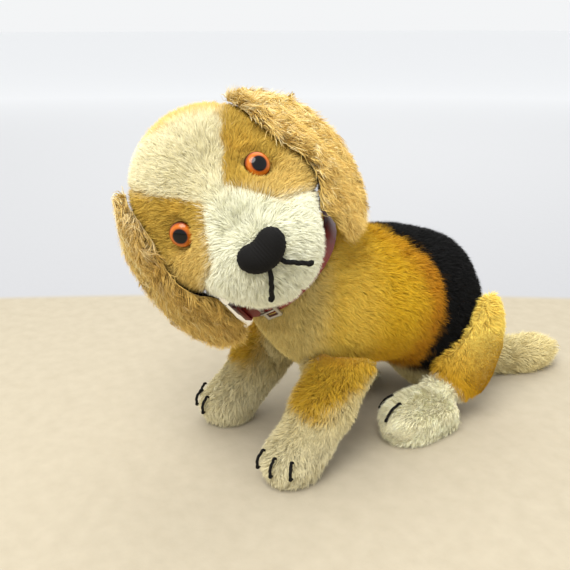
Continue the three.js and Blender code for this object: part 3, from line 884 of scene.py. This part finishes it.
LIMB_COLOURS = {"front_leg": front_leg_colour, "thigh": thigh_colour, "hind_foot": foot_colour}
limbs = [f"{limb}_{side}" for limb in LIMB_COLOURS for side in SIDES]
make_skin("torso", 6, 8, torso_colour, snug=("collar_strap",), seams=torso_seams)
make_skin("head", 6, 8, head_colour, snug=("collar_strap", "nose"), seams=head_seams)
for side in SIDES:
    for limb, limb_colour in LIMB_COLOURS.items():
        neighbours = ("torso_cover", f"thigh_{side}_cover") if limb == "hind_foot" else ("torso_cover",)
        make_skin(f"{limb}_{side}", 5, 4, limb_colour, sewn=neighbours, seams=side_seam)
make_skin("tail", 5, 4, tail_colour, sewn=("torso_cover",))

for part in ("head", "torso", "tail", *limbs):
    wool = wrapped(f"{part}_wood_wool", f"{part}_filling", 4, 2)
    points = points_of(wool)
    lumps = 0.5 * MM * ripple(points, 7 * MM, 61) - 1.2 * MM
    set_points(wool, points + normals_of(wool) * lumps[:, None])
    stand_for(wool, straw_material, f"{part}_filling",
              part if part in ("head", "tail") else "body")

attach(skins["head"], "head")
for name, obj in skins.items():
    if name not in ("head", "tail"):
        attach(obj, "body")

# ---- camera, light and floor


def aim(obj, target):
    direction = Vector(target) - obj.location
    obj.rotation_euler = direction.to_track_quat("-Z", "Y").to_euler()


def area_light(name, at, size, power, shade):
    light = bpy.data.lights.new(name, "AREA")
    light.shape = "DISK"
    light.size = size
    light.energy = power
    light.color = shade
    obj = placed(name, light)
    obj.location = at
    aim(obj, LIGHTS_AIM)


def floor_material():
    """Pale cloth, and a white wall past its edge. Distances are from the floor's own origin."""
    material, tree, shader = new_material("pale_cloth", Specular_IOR_Level=0.1)
    place = tree.nodes.new("ShaderNodeTexCoord")
    away = tree.nodes.new("ShaderNodeVectorMath")
    away.operation = "LENGTH"
    tree.links.new(place.outputs["Object"], away.inputs[0])
    fade = share_between(tree, away.outputs["Value"], CLOTH_RADIUS, CLOTH_RADIUS + CLOTH_FADE)
    fade.interpolation_type = "SMOOTHSTEP"
    rise = share_between(tree, away.outputs["Value"], CLOTH_RADIUS, CLOTH_RADIUS + WALL_FADE)
    wall = between(tree, rise.outputs["Result"], tuple(colour(179, 180, 183)), tuple(colour(250, 251, 252)))
    weave = noise_node(tree, 0.12)
    cloth = between(tree, weave.outputs["Fac"], tuple(colour(175, 165, 144)), tuple(colour(191, 181, 160)))
    shown = between(tree, fade.outputs["Result"], cloth, wall)
    tree.links.new(shown, shader.inputs["Base Color"])
    tree.links.new(between(tree, weave.outputs["Fac"], 0.9, 1.0, "FLOAT"), shader.inputs["Roughness"])
    bump_from(tree, shader, weave.outputs["Fac"], 0.3 * MM)
    return material


def make_studio():
    camera = bpy.data.cameras.new("camera")
    camera.lens = CAMERA_LENS
    camera.clip_start = 0.01
    eye = placed("camera", camera)
    eye.location = neck_at + np.array(CAMERA_AT)
    aim(eye, neck_at + np.array(CAMERA_AIM))
    bpy.context.scene.camera = eye
    for name, settings in LIGHTS.items():
        area_light(name, *settings)
    world = bpy.data.worlds.new("studio")
    world.use_nodes = True
    background = world.node_tree.nodes["Background"]
    background.inputs["Color"].default_value = DAYLIGHT
    background.inputs["Strength"].default_value = DAYLIGHT_STRENGTH
    bpy.context.scene.world = world
    bpy.context.scene.view_settings.view_transform = "Standard"
    corners = [(x * FLOOR_HALF, y * FLOOR_HALF, 0) for x, y in ((-1, -1), (1, -1), (1, 1), (-1, 1))]
    floor = new_object("floor", corners, [(0, 1, 2, 3)])
    view = np.array([CAMERA_AIM[0] - CAMERA_AT[0], CAMERA_AIM[1] - CAMERA_AT[1], 0])
    cloth_centre = neck_at - unit(view) * (CLOTH_RADIUS - CLOTH_BEHIND)
    floor.location = (cloth_centre[0], cloth_centre[1], 0)
    dress(floor, floor_material())


make_studio()

# ---- eyes


def thread_path(node, rings, axis):
    """The centre line of a CAD thread, from its rings of vertices in order along an axis."""
    points = np.unique(np.round(points_of(frame["nodes"][node]), 6), axis=0)
    points = points[np.argsort(points @ axis)]
    return np.array([group.mean(0) for group in np.array_split(points, rings)])


def smooth_path(points, count):
    """A smooth curve through the points (Catmull-Rom), with count steps."""
    padded = np.vstack([2 * points[0] - points[1], points, 2 * points[-1] - points[-2]])
    found = []
    for t in np.linspace(0, len(points) - 1 - 1e-9, count):
        i, f = int(t), t - int(t)
        a, b, c, d = padded[i:i + 4]
        curved = (2 * a - 5 * b + 4 * c - d) * f**2 + (3 * b - a - 3 * c + d) * f**3
        found.append(0.5 * (2 * b + (c - a) * f + curved))
    return np.array(found)


def tube(path, radii, sides=10):
    """A closed round tube along a path, with rounded ends from its radii."""
    tangents = unit(np.gradient(path, axis=0))
    normal = unit(np.cross(tangents[0], [0.3, 0.5, 0.8]))
    rows = []
    for point, tangent, radius in zip(path, tangents, radii):
        normal = unit(normal - tangent * (normal @ tangent))
        other = np.cross(tangent, normal)
        angles = np.linspace(0, 2 * math.pi, sides, endpoint=False)[:, None]
        rows.append(point + radius * (np.cos(angles) * normal + np.sin(angles) * other))
    count = len(path)
    points = np.vstack([*rows, path[:1], path[-1:]])
    faces = [
        (i * sides + k, i * sides + (k + 1) % sides, (i + 1) * sides + (k + 1) % sides, (i + 1) * sides + k)
        for i in range(count - 1) for k in range(sides)]
    faces += [((k + 1) % sides, k, count * sides) for k in range(sides)]
    last = (count - 1) * sides
    faces += [(last + k, last + (k + 1) % sides, count * sides + 1) for k in range(sides)]
    return points, faces


def joined(parts):
    """One set of points and faces from several."""
    points, faces, start = [], [], 0
    for part_points, part_faces in parts:
        points.append(part_points)
        faces += [tuple(start + i for i in face) for face in part_faces]
        start += len(part_points)
    return np.vstack(points), faces


def plied_thread(path, radius, plies=3, turn=9.0 * MM):
    """A twisted thread: its plies wind round the path."""
    tangents = unit(np.gradient(path, axis=0))
    lengths = np.concatenate([[0], np.cumsum(np.linalg.norm(np.diff(path, axis=0), axis=1))])
    normal = unit(np.cross(tangents, [0.2, 0.9, 0.4]))
    other = np.cross(tangents, normal)
    ends = np.sqrt(np.clip(1 - np.abs(np.linspace(-1, 1, len(path))) ** 8, 0.02, 1))
    parts = []
    for ply in range(plies):
        angle = (2 * math.pi * (lengths / turn + ply / plies))[:, None]
        line = path + 0.34 * radius * (np.cos(angle) * normal + np.sin(angle) * other)
        parts.append(tube(line, radius * 0.68 * ends, 8))
    return joined(parts)


def make_eye(side, sign):
    """A domed glass button with its pupil and iris."""
    node = f"eye_{side}"
    turn = math.radians(EYE_TURN)
    axis = unit(head_direction(sign * math.sin(turn), -math.cos(turn), 0))
    centre = node_centre(node)
    offsets = points_of(frame["nodes"][node]) - centre
    heights = offsets @ axis
    radius = np.linalg.norm(offsets - heights[:, None] * axis, axis=1).max()
    across = unit(np.cross(axis, head_up))
    upward = np.cross(across, axis)
    rings, sides = 22, 48
    profile = [(math.sin(t) * radius, heights.max() * (math.cos(t) * 1.25 - 0.25))
               for t in np.linspace(0.02, math.pi / 2, rings)]
    profile += [(radius * 0.92, -0.6 * heights.max()), (0.2 * radius, heights.min())]
    angles = np.linspace(0, 2 * math.pi, sides, endpoint=False)
    points = np.array([
        centre + axis * height + r * (math.cos(a) * across + math.sin(a) * upward)
        for r, height in profile for a in angles])
    rows = len(profile)
    faces = [
        (i * sides + k, (i + 1) * sides + k, (i + 1) * sides + (k + 1) % sides, i * sides + (k + 1) % sides)
        for i in range(rows - 1) for k in range(sides)]
    faces += [tuple(range(sides)), tuple(reversed(range((rows - 1) * sides, rows * sides)))]
    obj = new_object(f"glass_eye_{side}", points, faces)
    layer = obj.data.attributes.new("ring", "FLOAT", "POINT")
    layer.data.foreach_set("value", np.repeat([r / radius for r, _ in profile], sides).astype(np.float32))
    stand_for(obj, eye_material(), node, "head")
    return centre, axis, radius


eyes = {side: make_eye(side, sign) for side, sign in SIGNED_SIDES}

# ---- nose, mouth and claws

threads_near = []                   # points along every stitch, which press the pile flat


def make_thread(node, name, body, axis, radius, towards, inwards, start=None):
    """A thick black stitch where the CAD has its thread, sunk in the pile. It may start further back."""
    path = thread_path(node, THREAD_RINGS, axis)
    if start is not None:
        path = np.vstack([path[0] + STITCH_REACH * unit(start - path[0]), path])
    inward = unit(towards - path)
    path = path + inward * inwards
    path = np.vstack([path[0] + inward[0] * STITCH_DIP, path, path[-1] + inward[-1] * STITCH_DIP])
    fine = smooth_path(path, 60)
    threads_near.extend(fine[::3])
    obj = new_object(name, *plied_thread(fine, radius))
    stand_for(obj, thread_material, node, body)


def make_nose():
    """The embroidered nose: a stuffed pad under rows of satin stitches."""
    pad = wrapped("nose_pad", "nose", 5, 3)
    points = points_of(pad)
    stitches = np.sin(((points - skull) @ head_left) * 2 * math.pi / (1.15 * MM))
    set_points(pad, points + normals_of(pad) * (0.16 * MM * stitches)[:, None])
    stand_for(pad, thread_material, "nose", "head")
    return pad


nose_pad = make_nose()
muzzle_middle = skull + MM * head_direction(0, -36, -28)
for side, sign in SIGNED_SIDES:
    make_thread(f"mouth_stitch_{side}", f"mouth_thread_{side}", "head", sign * head_left, MOUTH_THREAD,
                muzzle_middle, MOUTH_SUNK, node_centre("nose"))
    for limb, part in (("front", "front_leg"), ("hind", "hind_foot")):
        for number in CLAWS[limb]:
            node = f"claw_{limb}_{side}_{number}"
            inside = node_centre(node) + np.array([0, 14 * MM, -2 * MM])
            make_thread(node, f"claw_thread_{limb}_{side}_{number}", "body", np.array([0, 0, 1.0]),
                        CLAW_THREAD, inside, CLAW_SUNK)

# ---- ears


def make_ear(side, sign):
    """An ear's two cloths: the outer one that carries the long pile, and the dark lining."""
    made = []
    for layer, node, colours, thick in (
        ("cloth", f"ear_mohair_{side}", ear_colour, EAR_CLOTH),
        ("lining", f"ear_lining_{side}", lining_colour, LINING_CLOTH),
    ):
        source = frame["nodes"][node]
        obj = new_object(f"ear_{layer}_{side}", points_of(source), triangles_of(source))
        weld = bmesh.new()
        weld.from_mesh(obj.data)
        bmesh.ops.remove_doubles(weld, verts=weld.verts, dist=0.01 * MM)
        for _ in range(2):
            bmesh.ops.subdivide_edges(weld, edges=weld.edges, cuts=1, use_grid_fill=True)
        bmesh.ops.triangulate(weld, faces=weld.faces)
        weld.to_mesh(obj.data)
        weld.free()
        obj.data.update()
        tree = tree_of(obj)
        points, normals = points_of(obj), normals_of(obj)
        outwards = sign * head_left if layer == "cloth" else -sign * head_left
        moved = points.copy()
        for i, point in enumerate(points):
            if normals[i] @ outwards < 0.05:
                continue
            start = Vector(point - outwards * 0.05 * MM)
            place, _, _, distance = tree.ray_cast(start, Vector(-outwards))
            if place is not None and distance > thick:
                moved[i] = point - outwards * (distance - thick)
        set_points(obj, smoothed(moved, edges_of(obj), 6))
        obj.data.polygons.foreach_set("use_smooth", [True] * len(obj.data.polygons))
        # The outer cloth is painted darker than its pile, as shade deep in the pile; the lining keeps its
        # own colour
        tint_mesh(obj, colours(points_of(obj)) * (0.7 if layer == "cloth" else 1.0))
        dress(obj, skin_material)
        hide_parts(node)
        made.append(obj)
    return made


def bend_ear(obj):
    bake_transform(obj)


def bend_tail(obj):
    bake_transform(obj)


# ---- grow the pile

stitch_tree = kd_tree(threads_near)
nose_tree = tree_of(nose_pad)


def stitch_trim(roots):
    """Pile is short under the stitches."""
    away = np.array([stitch_tree.find(root)[2] for root in roots])
    return 0.5 + 0.5 * ramp(away, 1.5 * MM, 4.0 * MM)


def face_trim(roots):
    """Pile is short under the stitches, along the seams, by the collar, and round the eyes and the nose."""
    kept = stitch_trim(roots) * (0.65 + 0.35 * ramp(head_seams(roots), 0.2 * MM, 1.2 * MM))
    along_neck = (roots - neck_at) @ neck_axis
    kept = kept * (0.35 + 0.65 * ramp(along_neck, NECK_HALF_GROOVE, NECK_HALF_GROOVE + 8 * MM))
    for centre, axis, radius in eyes.values():
        offset = roots - centre
        away = np.linalg.norm(offset - (offset @ axis)[:, None] * axis, axis=1)
        front = offset @ axis > -12 * MM
        short = np.where(front, ramp(away, radius * 0.92, radius + 3.5 * MM), 1)
        kept = kept * short
    away = distances(roots, nose_tree, 8 * MM)
    return kept * (0.3 + 0.7 * ramp(away, 0.5 * MM, 4.5 * MM))


def away_from_nose(roots):
    nose = skull + MM * head_direction(0, -66, -20)
    flow = unit(roots - nose)
    return flow - 0.25 * head_up


def constant_flow(x, y, z):
    direction = np.array([x, y, z], float)
    return lambda roots: np.broadcast_to(unit(direction), roots.shape)


def body_flow(roots):
    outwards = np.sign(roots[:, :1] - body_middle)
    down_and_back = np.broadcast_to([0.75, -0.65], (len(roots), 2))
    return np.concatenate([0.15 * outwards, down_and_back], axis=1)


def finish_pile(pieces, material, body=None):
    for obj in pieces:
        dress(obj, material)
        if body:
            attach(obj, body)


torso_pile = grow("torso_pile", skins["torso"], torso_colour, body_flow, 11, **PILES["torso"],
                  avoid=[skins[name] for name in (*limbs, "tail")])
finish_pile(torso_pile, pile_material, "body")
head_pile = grow("head_pile", skins["head"], head_colour, away_from_nose, 13, **PILES["head"],
                 trim=face_trim)
finish_pile(head_pile, pile_material, "head")

LIMB_PILE = {
    "front_leg": (constant_flow(0, -0.35, -1), "cream_mohair"),
    "thigh": (constant_flow(0, 0.35, -1), "golden_mohair"),
    "hind_foot": (constant_flow(0, -1, -0.35), "cream_mohair"),
}
for number, name in enumerate(limbs):
    limb, side = name.rsplit("_", 1)
    flow, slot = LIMB_PILE[limb]
    touching = {"thigh": [f"hind_foot_{side}"], "hind_foot": [f"thigh_{side}"]}.get(limb, [])
    pieces = grow(f"{name}_pile", skins[name], LIMB_COLOURS[limb], flow, 20 + number, **PILES["limb"],
                  avoid=[skins[near] for near in ("torso", *touching)], trim=stitch_trim)
    finish_pile(pieces, pile_material, "body")

tail_pile = grow("tail_pile", skins["tail"], tail_colour, constant_flow(0.1, 1, -0.15), 30,
                 **PILES["tail"], avoid=[skins["torso"]])
finish_pile(tail_pile, pile_material)
for obj in (skins["tail"], *tail_pile):
    bend_tail(obj)

for number, (side, sign) in enumerate(SIGNED_SIDES):
    cloth, lining = make_ear(side, sign)
    outwards = sign * head_left

    def outer(roots, normals, outwards=outwards):
        return normals @ outwards > -0.1

    def inner(roots, normals, outwards=outwards):
        return normals @ outwards < 0.35

    def root_trim(roots, side=side):
        below = (ear_pivot[side] - roots) @ head_up
        return 0.75 + 0.25 * ramp(below, 0, 18 * MM)

    def down_the_ear(roots):
        return np.broadcast_to(-head_up, roots.shape)

    pile = grow(f"ear_pile_{side}", cloth, ear_colour, down_the_ear, 40 + number, **PILES["ear"],
                keep=outer, trim=root_trim)
    finish_pile(pile, pile_material)
    short = grow(f"ear_lining_pile_{side}", lining, lining_colour, down_the_ear, 50 + number,
                 **PILES["ear_lining"], keep=inner, avoid=[skins["head"]])
    finish_pile(short, lining_pile_material)
    for obj in (cloth, lining, *pile, *short):
        bend_ear(obj)

# ---- hardware and collar


def refine(node, material, bevel=0.0):
    """Keeps a CAD node, with its edges eased and a better material."""
    obj = frame["nodes"][node]
    if bevel:
        weld = obj.modifiers.new("weld", "WELD")
        weld.merge_threshold = 0.01 * MM
        ease = obj.modifiers.new("eased_edges", "BEVEL")
        ease.width = bevel
        ease.segments = 3
        ease.limit_method = "ANGLE"
        ease.angle_limit = math.radians(40)
        ease.harden_normals = True
    obj.data.polygons.foreach_set("use_smooth", [True] * len(obj.data.polygons))
    for slot in obj.material_slots:
        slot.material = material
    if not obj.material_slots:
        obj.data.materials.append(material)


for node in ("collar_strap", "collar_keeper"):
    refine(node, strap_material, 0.4 * MM)
for node in ("buckle_frame", "buckle_prong"):
    refine(node, steel_material, 0.25 * MM)
for node in ("head_washer", "body_washer", "neck_pin", "eye_shank_left", "eye_shank_right"):
    refine(node, steel_material)
for node in ("head_disc", "body_disc"):
    refine(node, card_material, 0.2 * MM)
